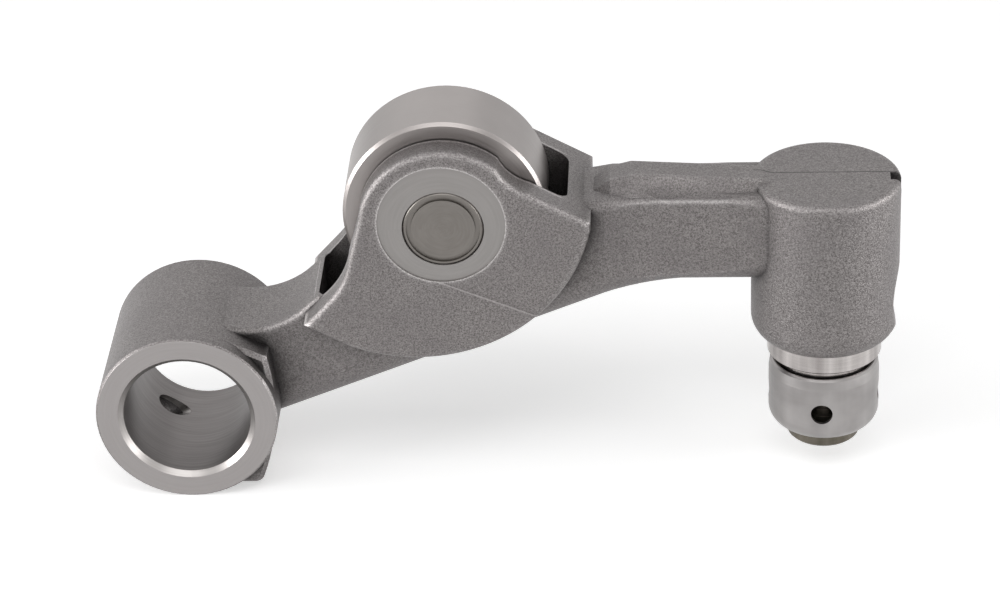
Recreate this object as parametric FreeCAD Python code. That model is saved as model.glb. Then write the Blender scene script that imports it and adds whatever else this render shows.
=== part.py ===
import FreeCAD, Part
import math
import os

# Roller rocker arm with a hydraulic lash adjuster.
# Millimetres. Origin at the middle of the shaft bore, +Y along the bore,
# +X towards the adjuster, +Z up along the axis of the adjuster.

# Shaft boss
bore_r = 8.5
bore_chamfer = 0.7
boss_r = 12.14
boss_half = 11.04
boss_edge = 0.25

# Flange that joins the boss to the arm
flange_half = 9.4
flange_top_x = 11.0
flange_top_z = 8.2
flange_wide_x = 11.7
flange_low_x = 9.2
flange_inner_x = 4.0
flange_low_z = -11.3
flange_corner = 1.4
flange_edge = 0.6

# Bar from the boss to the adjuster
bar_half = 6.1
bar_slope = 0.4
bar_low_z = -1.86
bar_low_x = 16.0
bar_bend_x = 56.0
bar_flat_x = 66.0
bar_under_z = 16.25
bar_turn_x = 60.5
bar_turn_z = 15.45
bar_low_round = 4.5
bar_top_round = 0.75
bar_start_x = 51.4
bar_start_z = 28.4
arm_end_x = 53.8
arm_end_z = 26.5
arm_top_x = 18.1
arm_top_z = 15.7
hollow_start = 1.14
hollow_x = 10.6
hollow_z = 11.0
hollow_end_x = 15.4
hollow_end_z = 13.3
beam_top_x = 57.0
beam_top_z = 29.4
beam_top_round = 1.7
side_hollow = 0.75
side_hollow_low_x = 56.0
side_hollow_high_x = 77.0

# Rib along the top of the beam, with a scoop along each side of it
rib_half = 1.9
rib_slope = 1.6
rib_start_x = 54.6
rib_knee_x = 56.8
rib_knee_z = 30.6
rib_rise_x = 59.5
rib_rise_z = 31.3
rib_fall_x = 76.5
rib_fall_z = 30.4
rib_end_x = 80.0
scoop_r = 4.8
scoop_y = 5.9
scoop_z = 33.8
scoop_low_x = 65.5
scoop_high_x = 70.0
scoop_turn_r = 16.0
scoop_turn = 0.62

# Roller, its pin and its needles
pin_x = 35.24
pin_z = 27.59
pin_r = 5.35
pin_edge = 0.3
stake_r = 4.48
stake_width = 0.32
stake_depth = 0.35
roller_r = 13.32
roller_half = 5.735
roller_edge = 0.42
needle_r = 1.25
needle_count = 16
needle_half = 5.3
needle_edge = 0.25
needle_clearance = 0.015

# Cheeks either side of the roller
cheek_half = 9.85
cheek_crown_r = 11.1
cheek_crown_start = 0.11
cheek_crown_end = 0.866
cheek_low_r = 23.6
cheek_low_x = 31.2
cheek_low_z = 31.8
cheek_end_x = 54.3
cheek_end_z = 28.2
cheek_neck_x = 46.5
cheek_neck_z = 32.5
cheek_bend_x = 44.0
cheek_bend_z = 33.9
cheek_sweep_high_x = 22.6
cheek_sweep_high_z = 22.8
cheek_sweep_x = 21.5
cheek_sweep_z = 19.4
cheek_sweep_low_x = 19.9
cheek_sweep_low_z = 17.1
cheek_tip_x = 16.3
cheek_tip_z = 13.2
cheek_heel_x = 22.3
cheek_edge = 0.85
spot_r = 8.34
spot_dx = -0.23
spot_dz = 0.65
spot_half = 9.62

# Pocket for the roller
pocket_half = 6.0
pocket_left_x = 18.1
pocket_right_x = 51.3
pocket_floor_z = 12.2
pocket_corner = 1.6
pocket_over = 14.0

# Boss that carries the adjuster
seat_x = 85.0
seat_r = 9.8
seat_top = 30.0
seat_bottom = 6.6
seat_low_round = 3.0
seat_top_round = 0.9
waist_depth = 0.95
waist_z = 12.3
waist_half = 5.2
notch_near_y = -1.6
notch_far_y = 0.4
notch_depth = 2.2
notch_length = 1.5

# Oil gallery, drilled from the low side of the boss to the adjuster
gallery_r = 1.3
gallery_entry_r = 1.85
gallery_entry_x = -4.3
gallery_entry_y = 4.6
gallery_slope = 0.397
gallery_overrun = 9.0
gallery_end = 1.0

# Hydraulic adjuster
slide_clearance = 0.02
housing_r = 7.64
housing_top = 21.0
housing_edge = 0.5
housing_lip = 0.25
housing_band_low = 4.0
neck_r = 6.35
neck_low = -0.5
chamber_r = 5.0
chamber_floor = 4.6
seat_end = 27.2
ball_r = 4.0
ball_z = -3.0

# Plunger, check valve and springs
plunger_low = 11.6
plunger_floor = 1.6
plunger_hollow_r = 3.4
plunger_seat_r = 1.3
plunger_relief_r = 4.65
plunger_relief_low = 19.6
plunger_relief_high = 23.2
plunger_slot = 1.2
check_r = 1.7
cage_r = 2.9
cage_wall = 0.3
cage_height = 4.2
cage_flange_r = 4.0
cage_vent = 1.5
cage_spring_wire = 0.1
cage_spring_r = 0.9
cage_spring_turns = 3
spring_wire = 0.3
spring_r = 4.4
spring_turns = 4
coil_steps = 12
keeper_wire = 0.35
keeper_z = 20.0
keeper_gap = 2.0

# Cap and swivel foot
cap_r = 7.41
cap_wall = 0.5
cap_top = 2.8
cap_collar_z = 1.2
cap_taper = 0.22
cap_low_z = -7.0
cap_low_round = 2.5
cap_mouth_r = 5.1
cap_bead_z = 0.3
cap_bead_r = 0.35
cap_hole_r = 1.45
cap_hole_z = -2.3
cap_hole_turn = -94.0
cap_holes = 4
foot_r = 4.8
foot_bottom = -9.0
foot_edge = 0.35
foot_flange_r = 5.9
foot_flange_top = -3.4
foot_flange_low = -5.7
cup_clearance = 0.03

# A distance below which two places count as one
touch = 0.01

needle_pitch_r = pin_r + needle_r + needle_clearance
ring_bore_r = pin_r + 2 * needle_r + 2 * needle_clearance
plunger_r = chamber_r - slide_clearance

out = FreeCAD.Vector(0, 1, 0)
up = FreeCAD.Vector(0, 0, 1)


def at(x, z):
    return FreeCAD.Vector(x, 0, z)


def line(a, b):
    return Part.LineSegment(a, b).toShape()


def arc(a, middle, b):
    return Part.Arc(a, middle, b).toShape()


def slab(edges, half):
    # A flat outline in the plane of the arm, made solid to both sides.
    face = Part.Face(Part.Wire(edges))
    face.translate(FreeCAD.Vector(0, -half, 0))
    return face.extrude(FreeCAD.Vector(0, 2 * half, 0))


def polygon(points):
    return [line(a, b) for a, b in zip(points, points[1:] + points[:1])]


def cross_rod(radius, half, x=0.0, z=0.0):
    # A cylinder along Y, centred on the plane of the arm.
    return Part.makeCylinder(radius, 2 * half, FreeCAD.Vector(x, -half, z), out)


def post(radius, low, high):
    # A cylinder along the axis of the adjuster.
    return Part.makeCylinder(radius, high - low, at(seat_x, low), up)


def turned(points):
    # A half section in radius and height, turned round the adjuster's axis.
    profile = Part.Face(Part.Wire(polygon([at(seat_x + r, z) for r, z in points])))
    return profile.revolve(at(seat_x, 0), up, 360)


def edges_where(shape, test):
    return [e for e in shape.Edges if test(e)]


def is_long_side(edge, half, low_x, high_x):
    box = edge.BoundBox
    flat = box.YLength < touch and abs(abs(box.YMin) - half) < touch
    return flat and box.XMin >= low_x and box.XMax <= high_x


def shaft_boss():
    body = cross_rod(boss_r, boss_half)
    return body.makeChamfer(boss_edge, edges_where(body, lambda e: e.BoundBox.YLength < touch))


def flange():
    # Its top leaves the round of the boss on a tangent.
    reach = math.hypot(flange_top_x, flange_top_z)
    turn = math.atan2(flange_top_z, flange_top_x) + math.acos(boss_r / reach)
    root = at(boss_r * math.cos(turn), boss_r * math.sin(turn))
    top = at(flange_top_x, flange_top_z)
    wide = at(flange_wide_x, 0)
    low = at(flange_low_x, flange_low_z)
    inner = at(flange_inner_x, flange_low_z)
    middle = at(0, 0)
    edges = [line(middle, root), line(root, top), arc(top, wide, low)]
    edges += [line(low, inner), line(inner, middle)]
    body = slab(edges, flange_half)

    def is_low_corner(edge):
        box = edge.BoundBox
        return box.YLength > flange_half and abs(box.XMin - flange_low_x) < touch

    body = body.makeFillet(flange_corner, edges_where(body, is_low_corner))
    rim = edges_where(body, lambda e: is_long_side(e, flange_half, 0, seat_x))
    return body.makeChamfer(flange_edge, rim)


def bar_low(x):
    return bar_low_z + bar_slope * (x - bar_low_x)


def is_under(edge):
    middle = edge.BoundBox.Center
    return is_long_side(edge, bar_half, 0, seat_x) and middle.z < bar_low(middle.x) + bar_half / 4


def arm():
    # From inside the boss to the cross piece behind the roller.
    start = at(0, bar_low(0))
    end_low = at(arm_end_x, bar_low(arm_end_x))
    end_top = at(arm_end_x, arm_end_z)
    top = at(arm_top_x, arm_top_z)
    hollow_end = at(hollow_end_x, hollow_end_z)
    root = at(boss_r * math.cos(hollow_start), boss_r * math.sin(hollow_start))
    edges = [line(start, end_low), line(end_low, end_top), line(end_top, top), line(top, hollow_end)]
    edges += [arc(hollow_end, at(hollow_x, hollow_z), root), line(root, start)]
    body = slab(edges, bar_half)

    def is_over(edge):
        return is_long_side(edge, bar_half, 0, seat_x) and edge.BoundBox.Center.z > hollow_z

    body = body.makeFillet(bar_low_round, edges_where(body, is_under))
    return body.makeFillet(bar_top_round, edges_where(body, is_over))


def bar():
    # From the cross piece to inside the adjuster's boss.
    start = at(bar_start_x, bar_low(bar_start_x))
    bend = at(bar_bend_x, bar_low(bar_bend_x))
    turn = at(bar_turn_x, bar_turn_z)
    flat = at(bar_flat_x, bar_under_z)
    far_low = at(seat_x, bar_under_z)
    far_top = at(seat_x, beam_top_z)
    level = at(beam_top_x, beam_top_z)
    start_top = at(bar_start_x, bar_start_z)
    edges = [line(start, bend), arc(bend, turn, flat), line(flat, far_low), line(far_low, far_top)]
    edges += [line(far_top, level), line(level, start_top), line(start_top, start)]
    body = slab(edges, bar_half)

    def is_over(edge):
        return is_long_side(edge, bar_half, 0, seat_x) and edge.BoundBox.ZMin > bar_start_z - touch

    body = body.makeFillet(bar_low_round, edges_where(body, is_under))
    return body.makeFillet(beam_top_round, edges_where(body, is_over))


def side_hollows():
    # Upright cylinders so large that they only skim the sides of the beam.
    half_span = (side_hollow_high_x - side_hollow_low_x) / 2
    radius = (half_span ** 2 + side_hollow ** 2) / (2 * side_hollow)
    middle = (side_hollow_high_x + side_hollow_low_x) / 2
    reach = bar_half - side_hollow + radius
    near = Part.makeCylinder(radius, rib_rise_z, FreeCAD.Vector(middle, -reach, bar_half), up)
    far = Part.makeCylinder(radius, rib_rise_z, FreeCAD.Vector(middle, reach, bar_half), up)
    return near.fuse(far)


def beam_top(x):
    ramp = (beam_top_z - bar_start_z) / (beam_top_x - bar_start_x)
    return min(beam_top_z, bar_start_z + ramp * (x - bar_start_x))


def rib_section(x, top):
    # The flanks slope down to the beam, so a high section has a wide foot.
    foot = beam_top(x) - touch
    skirt = rib_half + rib_slope * (top - foot)
    spots = [(-skirt, foot), (-rib_half, top), (rib_half, top), (skirt, foot)]
    spots += [(skirt, foot - rib_half), (-skirt, foot - rib_half)]
    return Part.Wire(polygon([FreeCAD.Vector(x, y, z) for y, z in spots]))


def rib():
    # The raised land grows out of the cross piece and ends on the adjuster's boss.
    stations = [(rib_start_x, beam_top(rib_start_x)), (rib_knee_x, rib_knee_z)]
    stations += [(rib_rise_x, rib_rise_z), (rib_fall_x, rib_fall_z), (rib_end_x, beam_top_z)]
    wires = [rib_section(x, top) for x, top in stations]
    parts = [Part.makeLoft([a, b], True, True) for a, b in zip(wires, wires[1:])]
    return parts[0].multiFuse(parts[1:])


def scoop(side):
    # A tube that dips into the top of the beam, level in the middle, rising at both ends.
    rise = scoop_turn_r * (1 - math.cos(scoop_turn))
    run = scoop_turn_r * math.sin(scoop_turn)
    half_rise = scoop_turn_r * (1 - math.cos(scoop_turn / 2))
    half_run = scoop_turn_r * math.sin(scoop_turn / 2)
    low = at(scoop_low_x, scoop_z)
    high = at(scoop_high_x, scoop_z)
    first = at(scoop_low_x - run, scoop_z + rise)
    last = at(scoop_high_x + run, scoop_z + rise)
    first_turn = arc(first, at(scoop_low_x - half_run, scoop_z + half_rise), low)
    last_turn = arc(high, at(scoop_high_x + half_run, scoop_z + half_rise), last)
    path = Part.Wire([first_turn, line(low, high), last_turn])
    heading = FreeCAD.Vector(math.cos(scoop_turn), 0, -math.sin(scoop_turn))
    ring = Part.Wire(Part.makeCircle(scoop_r, first, heading))
    tube = path.makePipeShell([ring], True, False)
    tube.translate(FreeCAD.Vector(0, side * scoop_y, 0))
    return tube


def beam():
    body = bar().fuse(rib())
    for cut in (side_hollows(), scoop(-1), scoop(1)):
        body = body.cut(cut)
    return body


def cheek_low(x):
    return at(x, cheek_low_z - math.sqrt(cheek_low_r ** 2 - (x - cheek_low_x) ** 2))


def on_crown(turn):
    return at(pin_x + cheek_crown_r * math.cos(turn), pin_z + cheek_crown_r * math.sin(turn))


def cheeks():
    # One outline gives both cheeks; the pocket later parts them.
    tip = at(cheek_tip_x, cheek_tip_z)
    heel = cheek_low(cheek_heel_x)
    end_low = cheek_low(cheek_end_x)
    end_top = at(cheek_end_x, cheek_end_z)
    neck = at(cheek_neck_x, cheek_neck_z)
    crown_end = on_crown(cheek_crown_end)
    crown_start = on_crown(math.pi - cheek_crown_start)
    sweep_high = at(cheek_sweep_high_x, cheek_sweep_high_z)
    sweep_low = at(cheek_sweep_low_x, cheek_sweep_low_z)
    edges = [line(tip, heel), arc(heel, cheek_low(pin_x), end_low), line(end_low, end_top)]
    edges += [line(end_top, neck), arc(neck, at(cheek_bend_x, cheek_bend_z), crown_end)]
    edges += [arc(crown_end, on_crown(math.pi / 2), crown_start), line(crown_start, sweep_high)]
    edges += [arc(sweep_high, at(cheek_sweep_x, cheek_sweep_z), sweep_low), line(sweep_low, tip)]
    body = slab(edges, cheek_half)
    rim = edges_where(body, lambda e: is_long_side(e, cheek_half, 0, seat_x))
    return body.makeFillet(cheek_edge, rim)


def adjuster_boss():
    body = post(seat_r, seat_bottom, seat_top)
    low = edges_where(body, lambda e: e.BoundBox.ZMax < seat_bottom + touch)
    body = body.makeFillet(seat_low_round, low)
    high = edges_where(body, lambda e: e.BoundBox.ZMin > seat_top - touch)
    return body.makeFillet(seat_top_round, high)


def waist():
    # The shallow hollow across the far end of the adjuster's boss.
    radius = (waist_half ** 2 + waist_depth ** 2) / (2 * waist_depth)
    return cross_rod(radius, seat_r, seat_x + seat_r - waist_depth + radius, waist_z)


def notch():
    corner = FreeCAD.Vector(seat_x + seat_r - notch_length, notch_near_y, seat_top - notch_depth)
    return Part.makeBox(2 * notch_length, notch_far_y - notch_near_y, 2 * notch_depth, corner)


def pocket_floor(x):
    return pocket_floor_z + gallery_slope * (x - pin_x)


def roller_pocket():
    left = at(pocket_left_x, pocket_floor(pocket_left_x))
    right = at(pocket_right_x, pocket_floor(pocket_right_x))
    high = pin_z + pocket_over
    body = slab(polygon([left, right, at(pocket_right_x, high), at(pocket_left_x, high)]), pocket_half)
    upright = edges_where(body, lambda e: e.BoundBox.YLength < touch and e.BoundBox.XLength < touch)
    return body.makeFillet(pocket_corner, upright)


def gallery():
    # A stepped drilling that follows the underside of the arm, below the pocket.
    entry_z = -math.sqrt(bore_r ** 2 - gallery_entry_x ** 2)
    entry = FreeCAD.Vector(gallery_entry_x, gallery_entry_y, entry_z)
    reach = seat_x - gallery_entry_x
    heading = FreeCAD.Vector(reach, -gallery_entry_y, reach * gallery_slope)
    heading.normalize()
    start = entry - heading * gallery_overrun
    length = gallery_overrun + (reach - housing_r + gallery_end) / heading.x
    wide = Part.makeCylinder(gallery_entry_r, gallery_overrun + bore_r, start, heading)
    return wide.fuse(Part.makeCylinder(gallery_r, length, start, heading))


def bore_cut():
    body = cross_rod(bore_r, boss_half + 1)
    for side in (-1, 1):
        mouth = FreeCAD.Vector(0, side * (boss_half - bore_chamfer), 0)
        cone = Part.makeCone(bore_r, bore_r + 2 * bore_chamfer, 2 * bore_chamfer, mouth, out * side)
        body = body.fuse(cone)
    return body


def spot_faces():
    depth = cheek_half - spot_half + cheek_edge
    near = cross_rod(spot_r, depth / 2, pin_x + spot_dx, pin_z + spot_dz)
    far = near.copy()
    near.translate(FreeCAD.Vector(0, -spot_half - depth / 2, 0))
    far.translate(FreeCAD.Vector(0, spot_half + depth / 2, 0))
    return near.fuse(far)


def rocker_body():
    body = shaft_boss().multiFuse([flange(), arm(), beam(), cheeks(), adjuster_boss()])
    body = body.removeSplitter()
    adjuster_bore = post(housing_r + slide_clearance, seat_bottom - 1, seat_end)
    cuts = [bore_cut(), roller_pocket(), waist(), notch(), spot_faces()]
    cuts += [adjuster_bore, gallery(), cross_rod(pin_r, cheek_half + 1, pin_x, pin_z)]
    for cut in cuts:
        body = body.cut(cut)
    return body


def roller_pin():
    body = cross_rod(pin_r, spot_half, pin_x, pin_z)
    rims = edges_where(body, lambda e: e.BoundBox.YLength < touch)
    body = body.makeChamfer(pin_edge, rims)
    for side in (-1, 1):
        mouth = FreeCAD.Vector(pin_x, side * (spot_half - stake_depth), pin_z)
        outer = Part.makeCylinder(stake_r + stake_width, 1, mouth, out * side)
        inner = Part.makeCylinder(stake_r - stake_width, 1, mouth, out * side)
        body = body.cut(outer.cut(inner))
    return body


def roller_ring():
    body = cross_rod(roller_r, roller_half, pin_x, pin_z)
    body = body.cut(cross_rod(ring_bore_r, roller_half + 1, pin_x, pin_z))
    rims = edges_where(body, lambda e: e.BoundBox.YLength < touch)
    return body.makeChamfer(roller_edge, rims)


def needles():
    made = []
    for index in range(needle_count):
        turn = 2 * math.pi * index / needle_count
        x = pin_x + needle_pitch_r * math.cos(turn)
        z = pin_z + needle_pitch_r * math.sin(turn)
        needle = cross_rod(needle_r, needle_half, x, z)
        rims = edges_where(needle, lambda e: e.BoundBox.YLength < touch)
        made.append(needle.makeChamfer(needle_edge, rims))
    return Part.makeCompound(made)


def housing():
    skirt_r = cap_r - cap_wall - slide_clearance
    groove_half = cap_bead_r + slide_clearance
    groove_r = skirt_r - groove_half
    keeper_out = chamber_r + keeper_wire
    points = [(0, neck_low), (skirt_r, neck_low), (skirt_r, cap_bead_z - groove_half)]
    points += [(groove_r, cap_bead_z - groove_half), (groove_r, cap_bead_z + groove_half)]
    points += [(skirt_r, cap_bead_z + groove_half), (skirt_r, cap_collar_z - slide_clearance)]
    points += [(neck_r, cap_collar_z - slide_clearance), (neck_r, housing_band_low)]
    points += [(housing_r - housing_lip, housing_band_low), (housing_r, housing_band_low + housing_lip)]
    points += [(housing_r, housing_top - housing_edge), (housing_r - housing_edge, housing_top)]
    points += [(chamber_r, housing_top), (chamber_r, keeper_z + keeper_wire)]
    points += [(keeper_out, keeper_z + keeper_wire), (keeper_out, keeper_z - keeper_wire)]
    points += [(chamber_r, keeper_z - keeper_wire), (chamber_r, chamber_floor), (0, chamber_floor)]
    ball = Part.makeSphere(ball_r, at(seat_x, ball_z))
    return turned(points).fuse(ball.common(post(ball_r, ball_z - ball_r, neck_low + 1)))


def plunger():
    floor_top = plunger_low + plunger_floor
    points = [(plunger_seat_r, plunger_low), (plunger_r, plunger_low), (plunger_r, plunger_relief_low)]
    points += [(plunger_relief_r, plunger_relief_low), (plunger_relief_r, plunger_relief_high)]
    points += [(plunger_r, plunger_relief_high), (plunger_r, seat_end), (plunger_hollow_r, seat_end)]
    points += [(plunger_hollow_r, floor_top), (plunger_seat_r, floor_top)]
    # The slots across the top let oil from the gallery into the hollow.
    slot = Part.makeBox(2 * chamber_r, 2 * plunger_slot, plunger_slot)
    slot.translate(FreeCAD.Vector(seat_x - chamber_r, -plunger_slot, seat_end - plunger_slot))
    return turned(points).cut(slot)


def check_ball():
    seat_drop = math.sqrt(check_r ** 2 - plunger_seat_r ** 2)
    return Part.makeSphere(check_r, at(seat_x, plunger_low - seat_drop))


def check_cage():
    top = plunger_low
    low = top - cage_height
    inner_r = cage_r - cage_wall
    points = [(0, low), (cage_r, low), (cage_r, top - cage_wall), (cage_flange_r, top - cage_wall)]
    points += [(cage_flange_r, top), (inner_r, top), (inner_r, low + cage_wall), (0, low + cage_wall)]
    body = turned(points)
    corner = FreeCAD.Vector(seat_x - cage_r, -cage_vent / 2, low + cage_vent)
    return body.cut(Part.makeBox(2 * cage_r, cage_vent, cage_vent, corner))


def coil(radius, wire, low, high, turns):
    # A wound spring as short straight lengths, mitred where they meet.
    count = turns * coil_steps
    rise = (high - low - 2 * wire) / count
    spots = []
    for index in range(count + 1):
        turn = 2 * math.pi * index / coil_steps
        x = seat_x + radius * math.cos(turn)
        y = radius * math.sin(turn)
        spots.append(FreeCAD.Vector(x, y, low + wire + rise * index))
    ring = Part.Wire(Part.makeCircle(wire, spots[0], spots[1] - spots[0]))
    return Part.makePolygon(spots).makePipeShell([ring], True, False, 1)


def plunger_spring():
    return coil(spring_r, spring_wire, chamber_floor, plunger_low - cage_wall, spring_turns)


def check_spring():
    ball_low = plunger_low - math.sqrt(check_r ** 2 - plunger_seat_r ** 2) - check_r
    rest = check_r - math.sqrt(check_r ** 2 - cage_spring_r ** 2)
    floor = plunger_low - cage_height + cage_wall
    return coil(cage_spring_r, cage_spring_wire, floor, ball_low + rest, cage_spring_turns)


def keeper_ring():
    ring = Part.makeTorus(chamber_r, keeper_wire, at(seat_x, keeper_z), up)
    corner = FreeCAD.Vector(seat_x, -keeper_gap / 2, keeper_z - keeper_wire)
    gap = Part.makeBox(2 * chamber_r, keeper_gap, 2 * keeper_wire, corner)
    return ring.cut(gap)


def cap_shell(shrink):
    # Outer or inner skin of the pressed cap, down to its turned-in lip.
    wall = cap_r - shrink
    lip = cap_low_z + shrink
    turn_r = cap_low_round - shrink
    centre_r = cap_r - cap_low_round
    turn_mid = turn_r * math.sqrt(0.5)
    top = cap_top + shrink
    flat_end = at(centre_r, lip)
    turn_middle = at(centre_r + turn_mid, lip + turn_r - turn_mid)
    wall_start = at(wall, lip + turn_r)
    edges = [line(at(0, lip), flat_end), arc(flat_end, turn_middle, wall_start)]
    collar = at(wall, cap_collar_z)
    rim = at(wall - cap_taper, top)
    edges += [line(wall_start, collar), line(collar, rim)]
    edges += [line(rim, at(0, top)), line(at(0, top), at(0, lip))]
    return Part.Face(Part.Wire(edges)).revolve(at(0, 0), up, 360)


def disc(radius, low, high):
    return Part.makeCylinder(radius, high - low, at(0, low), up)


def foot_cap():
    # Made round the origin, then moved to the adjuster's axis.
    body = cap_shell(0)
    body = body.makeChamfer(cap_wall / 2, edges_where(body, lambda e: e.BoundBox.ZMin > cap_top - touch))
    body = body.cut(cap_shell(cap_wall))
    body = body.cut(disc(cap_mouth_r, cap_low_z - cap_wall, cap_low_z + 2 * cap_wall))
    bead = Part.makeTorus(cap_r - cap_wall, cap_bead_r, at(0, cap_bead_z), up)
    inside = disc(cap_r - cap_wall / 2, cap_bead_z - cap_bead_r, cap_bead_z + cap_bead_r)
    body = body.fuse(bead.common(inside))
    for index in range(cap_holes):
        turn = math.radians(cap_hole_turn + 360 * index / cap_holes)
        heading = FreeCAD.Vector(math.cos(turn), math.sin(turn), 0)
        body = body.cut(Part.makeCylinder(cap_hole_r, 2 * cap_r, at(0, cap_hole_z), heading))
    body.translate(at(seat_x, 0))
    return body


def swivel_foot():
    points = [(0, foot_bottom), (foot_r - foot_edge, foot_bottom), (foot_r, foot_bottom + foot_edge)]
    points += [(foot_r, foot_flange_low), (foot_flange_r, foot_flange_low)]
    points += [(foot_flange_r, foot_flange_top), (0, foot_flange_top)]
    return turned(points).cut(Part.makeSphere(ball_r + cup_clearance, at(seat_x, ball_z)))


def save(name, shape):
    shape.exportStep("parts/" + name + ".step")
    state = "valid" if shape.isValid() else "NOT VALID"
    print(name, len(shape.Solids), "solids", round(shape.Volume, 1), "mm3", state)


os.makedirs("parts", exist_ok=True)
save("rocker_body", rocker_body())
save("roller_pin", roller_pin())
save("roller_ring", roller_ring())
save("needle_rollers", needles())
save("adjuster_housing", housing())
save("adjuster_plunger", plunger())
save("plunger_spring", plunger_spring())
save("check_ball", check_ball())
save("check_ball_cage", check_cage())
save("check_ball_spring", check_spring())
save("keeper_ring", keeper_ring())
save("foot_cap", foot_cap())
save("swivel_foot", swivel_foot())
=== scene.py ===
# %% [markdown]
# # A roller rocker arm, dressed for the camera
#
# The real arm is one steel casting that carries a ground roller, a pin and a hydraulic
# adjuster. Its shape comes from the CAD frame, so this lesson is about finishes: how a
# shot-blasted casting differs from a ground face, a polished cylinder or a pressed cap,
# and how to say so with procedural nodes that read real millimetres.

import bpy
import math
from mathutils import Matrix, Vector


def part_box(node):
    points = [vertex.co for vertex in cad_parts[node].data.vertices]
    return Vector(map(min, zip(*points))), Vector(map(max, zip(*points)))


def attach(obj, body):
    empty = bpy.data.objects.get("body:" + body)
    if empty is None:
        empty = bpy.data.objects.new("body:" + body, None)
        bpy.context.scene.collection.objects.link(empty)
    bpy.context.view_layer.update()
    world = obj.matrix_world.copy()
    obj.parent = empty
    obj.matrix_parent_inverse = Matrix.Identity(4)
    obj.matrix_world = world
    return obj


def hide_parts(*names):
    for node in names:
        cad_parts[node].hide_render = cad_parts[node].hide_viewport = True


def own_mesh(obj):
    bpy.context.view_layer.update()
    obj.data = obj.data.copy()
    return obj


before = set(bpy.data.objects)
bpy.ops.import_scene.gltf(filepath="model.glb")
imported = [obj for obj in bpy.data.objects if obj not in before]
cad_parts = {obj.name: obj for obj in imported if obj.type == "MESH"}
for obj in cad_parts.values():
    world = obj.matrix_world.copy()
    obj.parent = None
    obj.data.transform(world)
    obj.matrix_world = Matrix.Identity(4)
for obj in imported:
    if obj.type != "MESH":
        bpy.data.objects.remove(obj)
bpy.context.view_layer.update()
MM = 0.001
print("nodes", sorted(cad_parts))

# %% [markdown]
# ## Sizes that the finishes need
#
# A finish often changes where a cutter stopped: a bored wall, a faced end, a spot face.
# Those places follow from the boxes of the nodes, so they are measured here once, and
# the few sizes that no box gives are written down by name.

# %% Measure the frame
body_low, body_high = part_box("rocker_body")
pin_low, pin_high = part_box("roller_pin")
housing_low, housing_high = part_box("adjuster_housing")

boss_half = body_high[1]
bore_r = 8.5 * MM
spot_r = 8.34 * MM
spot_plane = pin_high[1]
pin_x = (pin_high[0] + pin_low[0]) / 2
pin_z = (pin_high[2] + pin_low[2]) / 2
seat_x = (housing_high[0] + housing_low[0]) / 2
parting_y = 0.6 * MM
arm_half = 6.1 * MM
flank_from = 17.5 * MM
flank_to = 52.3 * MM
flange_end = 10.5 * MM
notch_from = seat_x + 6 * MM
notch_half = 2.5 * MM
step_start = (34.2 * MM, 19.9 * MM)
step_end = (47.5 * MM, 14.4 * MM)
step_depth = 9.0 * MM
print("pin axis at", round(pin_x / MM, 2), round(pin_z / MM, 2), "mm")
print("adjuster axis at", round(seat_x / MM, 2), "mm")

# %% [markdown]
# ## Two small helpers
#
# Colours are easiest to read as sRGB hex, the way a colour picker gives them, while the
# shader wants linear values. One function converts. A second adds a node with its
# settings and wires its inputs, which keeps each material down to a few readable lines.
# It takes an input by its name, or by its number as i0, i1 and so on.


# %% Colour and node helpers
def linear(hex_colour):
    parts = [int(hex_colour[i : i + 2], 16) / 255 for i in (1, 3, 5)]
    curve = [p / 12.92 if p <= 0.04045 else ((p + 0.055) / 1.055) ** 2.4 for p in parts]
    return (*curve, 1.0)


def add(tree, kind, settings=None, **inputs):
    node = tree.nodes.new(kind)
    for name, value in (settings or {}).items():
        setattr(node, name, value)
    for name, value in inputs.items():
        key = int(name[1:]) if name[0] == "i" and name[1:].isdigit() else name.replace("_", " ")
        socket = node.inputs[key]
        if isinstance(value, bpy.types.NodeSocket):
            tree.links.new(value, socket)
        else:
            socket.default_value = value
    return node


def new_material(name):
    material = bpy.data.materials.new(name)
    material.use_nodes = True
    tree = material.node_tree
    tree.nodes.clear()
    shader = add(tree, "ShaderNodeBsdfPrincipled")
    output = add(tree, "ShaderNodeOutputMaterial")
    tree.links.new(shader.outputs["BSDF"], output.inputs["Surface"])
    return material, tree, shader


# %% [markdown]
# ## Reading a place on the part
#
# Object coordinates are the row frame in metres, because every node sits at the origin.
# A machined face is then found by arithmetic: how far a point is from an axis, or how
# near to a plane. Each mask is 1 inside and 0 outside.


# %% Position helpers
def place(tree):
    coordinates = add(tree, "ShaderNodeTexCoord").outputs["Object"]
    return coordinates, add(tree, "ShaderNodeSeparateXYZ", Vector=coordinates).outputs


def sums(tree, operation, a, b=0.0, c=0.0):
    return add(tree, "ShaderNodeMath", {"operation": operation}, i0=a, i1=b, i2=c).outputs[0]


def radius_about(tree, u, v, centre_u, centre_v):
    du = sums(tree, "SUBTRACT", u, centre_u)
    dv = sums(tree, "SUBTRACT", v, centre_v)
    squares = sums(tree, "ADD", sums(tree, "MULTIPLY", du, du), sums(tree, "MULTIPLY", dv, dv))
    return sums(tree, "SQRT", squares), sums(tree, "ARCTAN2", dv, du)


def noise(tree, vector, size, detail=3.0, rough=0.55):
    node = add(tree, "ShaderNodeTexNoise", None, Vector=vector, Scale=1 / size)
    node.inputs["Detail"].default_value = detail
    node.inputs["Roughness"].default_value = rough
    return node.outputs["Fac"]


def spread(tree, value, low, high, to_low, to_high):
    ends = {"i1": low, "i2": high, "i3": to_low, "i4": to_high}
    return add(tree, "ShaderNodeMapRange", {"clamp": True}, i0=value, **ends).outputs["Result"]


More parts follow.
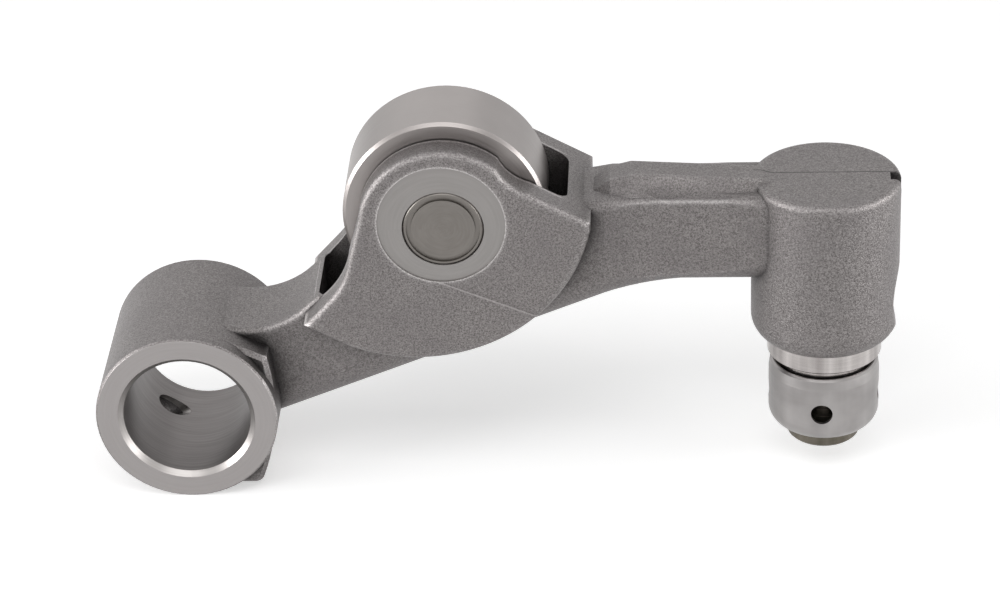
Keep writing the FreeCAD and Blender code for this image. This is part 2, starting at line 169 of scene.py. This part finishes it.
def blend_colour(tree, factor, a, b):
    node = add(tree, "ShaderNodeMix", {"data_type": "RGBA"})
    for index, value in ((0, factor), (6, a), (7, b)):
        if isinstance(value, bpy.types.NodeSocket):
            tree.links.new(value, node.inputs[index])
        else:
            node.inputs[index].default_value = value
    return node.outputs[2]


# %% [markdown]
# ## Masks that follow the shape
#
# Two more masks read the shape itself. Ambient occlusion cast outwards finds crevices and hollows, where
# the cast skin is darkened as painted shade. Cast inwards over a short distance it finds outer edges,
# which the cast skin brightens as a painted highlight, partly also the rub wear of the shot.


# %% Crevices, edges and tool lines
def crevices(tree, reach, inside=False):
    settings = {"samples": 8, "only_local": True, "inside": inside}
    node = add(tree, "ShaderNodeAmbientOcclusion", settings, Distance=reach)
    return sums(tree, "SUBTRACT", 1.0, node.outputs["AO"])


def outer_edges(tree, reach):
    return crevices(tree, reach, inside=True)


def tool_lines(tree, distance, angle, along, width):
    around = sums(tree, "MULTIPLY", angle, 0.3 * MM)
    path = add(tree, "ShaderNodeCombineXYZ", None, X=distance, Y=around, Z=along).outputs[0]
    return noise(tree, path, width, 3.0, 0.6)


# %% [markdown]
# ## Shot-blasted cast steel, with its machined faces
#
# The arm comes out of the mould with a skin that steel shot has peened: thousands of
# tiny dents a few tenths of a millimetre wide, which scatter light and show as a fine
# grey speckle. Where a cutter has been, that skin is gone and the bare steel is paler and
# smoother, with fine rings from the tool. Casting and cut faces are one node, so one
# material holds both, and masks made from distances pick between them.


# %% Where the cutters have been
near_enough = 0.03 * MM
same_plane = 0.02 * MM
chamfer_width = 0.75 * MM
spot_margin = 0.9 * MM
cutter_ring = 0.3 * MM


def cut_faces(tree, xyz):
    x, y, z = xyz
    depth = sums(tree, "ABSOLUTE", y)
    from_bore, bore_angle = radius_about(tree, x, z, 0, 0)
    from_pin, pin_angle = radius_about(tree, x, z, pin_x, pin_z)
    faced = sums(tree, "GREATER_THAN", depth, boss_half - near_enough)
    wall = sums(tree, "LESS_THAN", from_bore, bore_r + near_enough)
    wall = sums(tree, "MINIMUM", wall, sums(tree, "LESS_THAN", depth, boss_half - near_enough))
    chamfer = sums(tree, "LESS_THAN", from_bore, bore_r + chamfer_width)
    chamfer = sums(tree, "SUBTRACT", chamfer, sums(tree, "MAXIMUM", wall, faced))
    in_spot = sums(tree, "LESS_THAN", from_pin, spot_r + spot_margin)
    spot = sums(tree, "MULTIPLY", in_spot, sums(tree, "COMPARE", depth, spot_plane, same_plane))
    bore_lines = tool_lines(tree, from_bore, bore_angle, y, cutter_ring)
    spot_lines = tool_lines(tree, from_pin, pin_angle, y, cutter_ring)
    return {"faced": faced, "wall": wall, "chamfer": chamfer, "spot": spot}, bore_lines, spot_lines


# %% [markdown]
# The mould's two halves meet near the middle plane. There the casting keeps a thin witness line, trimmed
# flush, which shows best across the top of the adjuster's boss; it is drawn as a dark line of painted
# shade, standing in for the shaded side of that fine line. On each cheek a low step runs from the spot
# face to the outline, drawn as a painted highlight line with a soft painted shade above it.


# %% Parting line and cheek step
# The witness line's dark tone is painted shade.
def parting_shade_line(tree, where, xyz):
    x, y = xyz[0], xyz[1]
    drift = sums(tree, "SUBTRACT", noise(tree, where, 3 * MM), 0.5)
    wander = sums(tree, "MULTIPLY", drift, 0.25 * MM)
    off = sums(tree, "ABSOLUTE", sums(tree, "SUBTRACT", sums(tree, "ADD", y, wander), parting_y))
    thin = spread(tree, off, 0.06 * MM, 0.16 * MM, 1.0, 0.0)
    return sums(tree, "MULTIPLY", thin, sums(tree, "GREATER_THAN", x, seat_x - 9.5 * MM))


def cheek_step(tree, xyz):
    x, y, z = xyz
    slope = math.atan2(step_end[1] - step_start[1], step_end[0] - step_start[0])
    rise = sums(tree, "MULTIPLY", sums(tree, "SUBTRACT", z, step_start[1]), math.cos(slope))
    shift = sums(tree, "MULTIPLY", sums(tree, "SUBTRACT", x, step_start[0]), math.sin(slope))
    off = sums(tree, "SUBTRACT", rise, shift)
    on_cheek = sums(tree, "GREATER_THAN", sums(tree, "ABSOLUTE", y), step_depth)
    on_cheek = sums(tree, "MULTIPLY", on_cheek, sums(tree, "GREATER_THAN", x, step_start[0]))
    on_cheek = sums(tree, "MULTIPLY", on_cheek, sums(tree, "LESS_THAN", x, step_end[0]))
    # Painted highlight along the step, and painted shade just above it.
    bright = spread(tree, sums(tree, "ABSOLUTE", off), 0.04 * MM, 0.16 * MM, 1.0, 0.0)
    shade = spread(tree, off, 0.1 * MM, 0.9 * MM, 1.0, 0.0)
    shade = sums(tree, "MULTIPLY", shade, sums(tree, "GREATER_THAN", off, 0.1 * MM))
    return sums(tree, "MULTIPLY", bright, on_cheek), sums(tree, "MULTIPLY", shade, on_cheek)


# %% [markdown]
# The outer edges are painted brighter: a painted highlight where their rounding catches the light, with
# some real rub wear from the shot, and only on the peaks of the skin, so the edges look gritty. The
# inward search would also find the roller's pocket through the arm's flank, where the wall beside the
# pocket is thin, so the zone for the brightened edges leaves out the flank and the notch in the
# adjuster's boss. Beyond the flange towards the shaft the skin is even, and is left out too.


# %% Zone of worn and highlighted edges, and cast skin
def worn_highlight_zone(tree, xyz):
    x, depth = xyz[0], sums(tree, "ABSOLUTE", xyz[1])
    zone = sums(tree, "GREATER_THAN", depth, arm_half + 0.05 * MM)
    zone = sums(tree, "MAXIMUM", zone, sums(tree, "LESS_THAN", x, flank_from))
    zone = sums(tree, "MAXIMUM", zone, sums(tree, "GREATER_THAN", x, flank_to))
    zone = sums(tree, "MULTIPLY", zone, sums(tree, "GREATER_THAN", x, flange_end))
    notch = sums(tree, "GREATER_THAN", x, notch_from)
    notch = sums(tree, "MULTIPLY", notch, sums(tree, "LESS_THAN", depth, notch_half))
    return sums(tree, "MULTIPLY", zone, sums(tree, "SUBTRACT", 1.0, notch))


def cast_skin(tree, where, xyz):
    # The dents' sizes never divide a flat face's height evenly, or its speckle would vanish.
    dent = noise(tree, where, 0.26 * MM, 2.0, 0.6)
    grit = noise(tree, where, 0.13 * MM, 1.0, 0.5)
    patch = noise(tree, where, 7 * MM, 3.0, 0.5)
    speckle = sums(tree, "ADD", sums(tree, "MULTIPLY", dent, 0.6), sums(tree, "MULTIPLY", grit, 0.4))
    speckle = spread(tree, speckle, 0.36, 0.64, 0.0, 1.0)
    # Painted shade: crevices and hollows found by outward occlusion darken the skin.
    hollow_shade = spread(tree, crevices(tree, 7 * MM), 0.04, 0.4, 0.0, 0.6)
    corner_shade = spread(tree, crevices(tree, 2.2 * MM), 0.05, 0.32, 0.0, 0.85)
    # Painted highlight on the outer edges, partly rub wear of the shot, gritty through the speckle.
    edge_wear_and_highlight = spread(tree, outer_edges(tree, 0.8 * MM), 0.08, 0.35, 0.0, 1.0)
    edge_wear_and_highlight = sums(tree, "MULTIPLY", edge_wear_and_highlight, worn_highlight_zone(tree, xyz))
    edge_wear_and_highlight = sums(tree, "MULTIPLY", edge_wear_and_highlight, spread(tree, speckle, 0.1, 0.9, 0.45, 1.0))
    step_highlight, step_shade = cheek_step(tree, xyz)
    colour = blend_colour(tree, speckle, linear("#5a5655"), linear("#8f8b8a"))
    layers = (
        (spread(tree, patch, 0.35, 0.7, 0.0, 0.3), "#6b6768"),
        # Painted shade in the hollows and corners.
        (sums(tree, "MAXIMUM", hollow_shade, corner_shade), "#2c2a2a"),
        # Painted highlight on the outer edges, with some rub wear.
        (edge_wear_and_highlight, "#c4c0bf"),
        # Painted shade: the dark parting line across the adjuster's boss.
        (sums(tree, "MULTIPLY", parting_shade_line(tree, where, xyz), 0.75), "#2e2b2b"),
        # Painted shade above the cheek step, then its painted highlight.
        (sums(tree, "MULTIPLY", step_shade, 0.22), "#4a4645"),
        (sums(tree, "MULTIPLY", step_highlight, 0.4), "#b4b0af"),
    )
    for amount, hex_colour in layers:
        colour = blend_colour(tree, amount, colour, linear(hex_colour))
    height = sums(tree, "ADD", dent, sums(tree, "MULTIPLY", grit, 0.6))
    return colour, height, spread(tree, grit, 0.3, 0.7, 0.4, 0.54)


# %% Cast steel
def cast_steel():
    material, tree, shader = new_material("shot_blasted_cast_steel")
    where, xyz = place(tree)
    skin, dents, skin_rough = cast_skin(tree, where, xyz)
    cuts, bore_lines, spot_lines = cut_faces(tree, xyz)
    bore_tone = spread(tree, bore_lines, 0.3, 0.7, 0.0, 1.0)
    spot_tone = spread(tree, spot_lines, 0.3, 0.7, 0.0, 1.0)
    looks = (
        ("faced", bore_tone, "#969291", "#9a9695", 0.4),
        ("wall", bore_tone, "#686463", "#787473", 0.38),
        ("chamfer", bore_tone, "#9a9694", "#a8a4a2", 0.36),
        ("spot", spot_tone, "#898684", "#8f8c8a", 0.42),
    )
    colour, rough, cut_anywhere = skin, skin_rough, 0.0
    for cut_name, tone, dark, pale, cut_rough in looks:
        mask = cuts[cut_name]
        bare = blend_colour(tree, tone, linear(dark), linear(pale))
        colour = blend_colour(tree, mask, colour, bare)
        mixer = add(tree, "ShaderNodeMix", {"data_type": "FLOAT"}, i0=mask, i2=rough, i3=cut_rough)
        rough = mixer.outputs[0]
        cut_anywhere = sums(tree, "MAXIMUM", mask, cut_anywhere)
    tree.links.new(colour, shader.inputs["Base Color"])
    tree.links.new(rough, shader.inputs["Roughness"])
    shader.inputs["Metallic"].default_value = 0.9
    height = sums(tree, "MULTIPLY", dents, sums(tree, "SUBTRACT", 1.0, cut_anywhere))
    bump = add(tree, "ShaderNodeBump", None, Height=height, Strength=0.6, Distance=0.1 * MM)
    tree.links.new(bump.outputs["Normal"], shader.inputs["Normal"])
    return material


# %% [markdown]
# ## Ground and polished steel
#
# The roller, the pin, the adjuster and the foot are hardened steel finished by grinding.
# A grinding wheel leaves very fine lines that run round the axis. Each material takes the
# axis it was ground about, its colours and its roughness, and draws those lines as noise
# stretched along the circumference. In truth they are finer than a hundredth of a
# millimetre, so they are drawn as coarse as they need to be to show.


# %% Ground steel
def ground_steel(name, dark, pale, rough, turned_about, lined=0.7, streak_and_reflection_share=0.0):
    material, tree, shader = new_material(name)
    where, (x, y, z) = place(tree)
    axis, centre = turned_about
    if axis == "Y":
        distance, angle = radius_about(tree, x, z, centre[0], centre[1])
        along = y
    else:
        distance, angle = radius_about(tree, x, y, centre[0], centre[1])
        along = z
    lines = tool_lines(tree, distance, angle, along, 0.22 * MM)
    # Painted reflections: upright bands of light and dark round the axis, mixed into the colour.
    around = sums(tree, "MULTIPLY", angle, 7 * MM)
    turned_path = add(tree, "ShaderNodeCombineXYZ", None, X=around).outputs[0]
    streaks_and_reflections = noise(tree, turned_path, 2.2 * MM, 3.0, 0.5)
    cloud = noise(tree, where, 4 * MM, 2.0, 0.5)
    tone = sums(tree, "MULTIPLY", cloud, 1.0 - lined - streak_and_reflection_share)
    tone = sums(tree, "ADD", tone, sums(tree, "MULTIPLY", lines, lined))
    tone = sums(tree, "ADD", tone, sums(tree, "MULTIPLY", streaks_and_reflections, streak_and_reflection_share))
    colour = blend_colour(tree, spread(tree, tone, 0.35, 0.65, 0.0, 1.0), linear(dark), linear(pale))
    tree.links.new(colour, shader.inputs["Base Color"])
    wear = spread(tree, lines, 0.3, 0.7, rough * 0.85, rough * 1.15)
    tree.links.new(wear, shader.inputs["Roughness"])
    shader.inputs["Metallic"].default_value = 1.0
    bump = add(tree, "ShaderNodeBump", None, Height=lines, Strength=0.15, Distance=0.02 * MM)
    tree.links.new(bump.outputs["Normal"], shader.inputs["Normal"])
    return material


# %% [markdown]
# Each finish is named for the real steel and how it was made. A row gives its darkest and palest tone,
# its roughness, the axis it was turned about, how much of its pattern is rings and how much is streaks
# along the axis. On the polished housing and the pressed cap those streaks are painted reflections,
# bands of light and dark drawn into the colour.

# %% Dress the nodes
roller_axis = ("Y", (pin_x, pin_z))
adjuster_axis = ("Z", (seat_x, 0.0))
steels = {
    # Dull grey-brown ends, so the pin reads darker than the spot face round it.
    "roller_pin": ("ground_pin_steel", "#716d69", "#7b7773", 0.42, roller_axis),
    # An even satin grey that turns bright at the rims.
    "roller_ring": ("ground_roller_steel", "#918c8a", "#989391", 0.38, roller_axis),
    # Bright needles, seen only in the gap beside the ring.
    "needle_rollers": ("ground_needle_steel", "#a8a4a2", "#b2aeac", 0.22, roller_axis),
    # Polished; its upright streaks of light and dark are painted reflections in the colour.
    "adjuster_housing": ("polished_housing_steel", "#8f8a88", "#c8c3c1", 0.22, adjuster_axis, 0.15, 0.7),
    # Hidden parts of the adjuster: fine grey steel and darker wire.
    "adjuster_plunger": ("ground_plunger_steel", "#9a9795", "#a8a5a2", 0.3, adjuster_axis),
    "plunger_spring": ("drawn_spring_wire", "#5e5c5c", "#6e6c6c", 0.4, adjuster_axis),
    "check_ball": ("lapped_ball_steel", "#a8a6a4", "#b4b2b0", 0.15, adjuster_axis),
    "check_ball_cage": ("pressed_cage_steel", "#848280", "#949290", 0.4, adjuster_axis),
    "check_ball_spring": ("drawn_valve_wire", "#5e5c5c", "#6e6c6c", 0.4, adjuster_axis),
    "keeper_ring": ("drawn_keeper_wire", "#5e5c5c", "#6e6c6c", 0.4, adjuster_axis),
    # Pressed sheet without tool marks: a slightly cloudy tone, with soft upright bands of painted
    # reflection.
    "foot_cap": ("pressed_cap_steel", "#888584", "#9e9b9a", 0.36, adjuster_axis, 0.1, 0.3),
    # Hardened steel with an olive cast from its heat treatment.
    "swivel_foot": ("hardened_foot_steel", "#524e45", "#726d64", 0.42, adjuster_axis, 0.2, 0.5),
}
finishes = {"rocker_body": cast_steel()}
for steel_node, steel in steels.items():
    finishes[steel_node] = ground_steel(*steel)
for node_name, finish in finishes.items():
    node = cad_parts[node_name]
    node.data.materials.clear()
    node.data.materials.append(finish)
print("dressed", len(finishes), "nodes")

# %% [markdown]
# ## Two springs wound by Geometry Nodes
#
# Inside the adjuster a coil spring pushes the housing out, and a tiny one holds the valve's ball on its
# seat. The frame's springs are rigid, so the housing would cut into them when it slides in. A spring is
# a shape that follows a rule, so Geometry Nodes wind it: a spiral, a round wire along it, and four sizes
# as inputs.


# %% A spring wound by Geometry Nodes
def spring_tree():
    tree = bpy.data.node_groups.new("wound_spring", "GeometryNodeTree")
    tree.interface.new_socket("Geometry", in_out="OUTPUT", socket_type="NodeSocketGeometry")
    for size_name in ("Coil radius", "Wire radius", "Rise", "Turns"):
        tree.interface.new_socket(size_name, in_out="INPUT", socket_type="NodeSocketFloat")
    tree.interface.new_socket("Finish", in_out="INPUT", socket_type="NodeSocketMaterial")
    sizes_in = add(tree, "NodeGroupInput").outputs
    spiral = add(tree, "GeometryNodeCurveSpiral", None, Resolution=32, Rotations=sizes_in["Turns"])
    tree.links.new(sizes_in["Coil radius"], spiral.inputs["Start Radius"])
    tree.links.new(sizes_in["Coil radius"], spiral.inputs["End Radius"])
    tree.links.new(sizes_in["Rise"], spiral.inputs["Height"])
    wire = add(tree, "GeometryNodeCurvePrimitiveCircle", None, Resolution=12)
    tree.links.new(sizes_in["Wire radius"], wire.inputs["Radius"])
    tube = add(tree, "GeometryNodeCurveToMesh", None, i0=spiral.outputs[0], i1=wire.outputs[0])
    tube.inputs["Fill Caps"].default_value = True
    whole = add(tree, "GeometryNodeRealizeInstances", None, i0=tube.outputs[0])
    dressed = add(tree, "GeometryNodeSetMaterial", None, Geometry=whole.outputs[0])
    tree.links.new(sizes_in["Finish"], dressed.inputs["Material"])
    leave = add(tree, "NodeGroupOutput")
    tree.links.new(dressed.outputs[0], leave.inputs[0])
    return tree


# %% [markdown]
# The box of each frame spring gives its length and its outer radius, so only the wire
# and the number of turns are written down. The modifier's result becomes a plain mesh,
# moved to the adjuster's axis, and the modifier is gone before the frame sees the piece.


# %% Wind the springs and attach them to the arm
def wind_spring(tree, stands_for, wire_r, turns):
    low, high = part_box(stands_for)
    coil_r = (high[0] - low[0]) / 2 - wire_r
    rise = high[2] - low[2] - 2 * wire_r
    holder = bpy.data.objects.new("spring_holder", bpy.data.meshes.new("spring_holder"))
    bpy.context.collection.objects.link(holder)
    winder = holder.modifiers.new("winder", "NODES")
    winder.node_group = tree
    values = {"Coil radius": coil_r, "Wire radius": wire_r, "Rise": rise, "Turns": float(turns)}
    values["Finish"] = finishes[stands_for]
    for item in tree.interface.items_tree:
        if item.in_out == "INPUT":
            winder[item.identifier] = values[item.name]
    ready = holder.evaluated_get(bpy.context.evaluated_depsgraph_get())
    mesh = bpy.data.meshes.new_from_object(ready)
    bpy.data.objects.remove(holder)
    mesh.transform(Matrix.Translation((seat_x, 0, low[2] + wire_r)))
    mesh.shade_smooth()
    spring = bpy.data.objects.new(stands_for + "_wound", mesh)
    bpy.context.collection.objects.link(spring)
    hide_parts(stands_for)
    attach(spring, "arm")
    print(spring.name, "has", len(mesh.polygons), "faces")
    return spring, low[2], high[2]


plunger_wire = 0.3 * MM
valve_wire = 0.1 * MM
winding = spring_tree()
spring, spring_low, spring_high = wind_spring(winding, "plunger_spring", plunger_wire, 4)
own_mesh(spring)
valve, valve_low, valve_high = wind_spring(winding, "check_ball_spring", valve_wire, 3)
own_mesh(valve)

# %% [markdown]
# ## The floor, the light and the camera
#
# The photograph is a studio packshot: the part stands in a white room, so its front
# faces mirror a bright floor while its hollows stay dark. The paper floor lies just
# under the shaft boss, the lowest point. It is a little grey to the lamps, which keeps
# the part's shadow, and it glows towards the camera and towards mirror-like rays, so
# the background and the reflections are white. Far from the part it glows more, for the
# camera only, so the background stays white from low angles too.


# %% Floor
def sees_white(tree):
    path = add(tree, "ShaderNodeLightPath").outputs
    seen = sums(tree, "MAXIMUM", path["Is Camera Ray"], path["Is Glossy Ray"])
    return sums(tree, "MAXIMUM", seen, path["Is Transmission Ray"])


floor_glow = 0.45
far_glow = 0.6
far_from, far_to = 0.2, 0.6
part_middle_x = 0.04


def make_floor():
    half = 2.0
    mesh = bpy.data.meshes.new("floor")
    z = body_low[2] - 0.02 * MM
    corners = [(-half, -half, z), (half, -half, z), (half, half, z), (-half, half, z)]
    mesh.from_pydata(corners, [], [(0, 1, 2, 3)])
    floor = bpy.data.objects.new("floor", mesh)
    bpy.context.collection.objects.link(floor)
    material, tree, shader = new_material("white_paper_floor")
    shader.inputs["Base Color"].default_value = linear("#f4f4f4")
    shader.inputs["Roughness"].default_value = 0.9
    shader.inputs["Emission Color"].default_value = (1, 1, 1, 1)
    glow = sums(tree, "MULTIPLY", sees_white(tree), floor_glow)
    xyz = place(tree)[1]
    away = radius_about(tree, xyz[0], xyz[1], part_middle_x, 0.0)[0]
    direct = add(tree, "ShaderNodeLightPath").outputs["Is Camera Ray"]
    extra = sums(tree, "MULTIPLY", direct, spread(tree, away, far_from, far_to, 0.0, far_glow))
    glow = sums(tree, "ADD", glow, extra)
    tree.links.new(glow, shader.inputs["Emission Strength"])
    mesh.materials.append(material)


make_floor()


# %% [markdown]
# Four soft boxes do the rest. A low box on each side lights the round flanks of the
# roller and the adjuster, a weak one above and in front makes the edges glint, and one
# behind keeps the shadow open.


# %% World and lamps
def white_world(strength):
    world = bpy.data.worlds.new("studio")
    bpy.context.scene.world = world
    world.use_nodes = True
    tree = world.node_tree
    tree.nodes.clear()
    soft = add(tree, "ShaderNodeBackground", None, Color=(1, 1, 1, 1), Strength=strength)
    white = add(tree, "ShaderNodeBackground", None, Color=(1, 1, 1, 1), Strength=1.0)
    mix = add(tree, "ShaderNodeMixShader", None, i0=sees_white(tree))
    tree.links.new(soft.outputs[0], mix.inputs[1])
    tree.links.new(white.outputs[0], mix.inputs[2])
    output = add(tree, "ShaderNodeOutputWorld")
    tree.links.new(mix.outputs[0], output.inputs["Surface"])


def soft_box(name, spot, aim, width, height, watts):
    lamp = bpy.data.lights.new(name, "AREA")
    lamp.shape = "RECTANGLE"
    lamp.size = width
    lamp.size_y = height
    lamp.energy = watts
    holder = bpy.data.objects.new(name, lamp)
    bpy.context.collection.objects.link(holder)
    holder.location = spot
    holder.rotation_euler = (Vector(aim) - Vector(spot)).to_track_quat("-Z", "Y").to_euler()


middle = ((body_low[0] + body_high[0]) / 2, 0.0, (body_low[2] + body_high[2]) / 2)
white_world(0.16)
soft_box("left_box", (-0.65, -0.2, 0.15), middle, 0.5, 0.26, 5.0)
soft_box("right_box", (0.65, -0.1, 0.13), middle, 0.45, 0.22, 2.6)
soft_box("top_box", (0.02, -0.3, 0.5), middle, 0.45, 0.25, 0.9)
soft_box("back_box", (-0.2, 0.5, 0.4), middle, 1.0, 0.5, 0.45)

# %% [markdown]
# The camera was fitted to the ellipses of the bore, the roller and the adjuster. Its
# place is in metres in the row frame, and its aim is a turn, a downward tilt and a slight
# roll. A long lens flattens the part the way the photograph does.

# %% Camera
camera_place = Vector((66.15, -421.6, 251.2)) * MM
camera_turn = math.radians(-3.31)
camera_tilt = math.radians(-29.506)
camera_roll = math.radians(-2.125)
focal_pixels = 3633.2
image_width = 1000
sensor_width = 36.0


def aim_camera():
    level_x = math.sin(camera_turn) * math.cos(camera_tilt)
    level_y = math.cos(camera_turn) * math.cos(camera_tilt)
    ahead = Vector((level_x, level_y, math.sin(camera_tilt)))
    level = Vector((math.cos(camera_turn), -math.sin(camera_turn), 0.0))
    above = level.cross(ahead)
    right = level * math.cos(camera_roll) + above * math.sin(camera_roll)
    upward = above * math.cos(camera_roll) - level * math.sin(camera_roll)
    turn = Matrix((right, upward, -ahead)).transposed().to_4x4()
    data = bpy.data.cameras.new("camera")
    data.sensor_fit = "HORIZONTAL"
    data.sensor_width = sensor_width
    data.lens = sensor_width * focal_pixels / image_width
    data.clip_start = 0.01
    data.clip_end = 10.0
    camera = bpy.data.objects.new("camera", data)
    bpy.context.collection.objects.link(camera)
    camera.matrix_world = Matrix.Translation(camera_place) @ turn
    bpy.context.scene.camera = camera


aim_camera()
bpy.context.scene.view_settings.view_transform = "Standard"
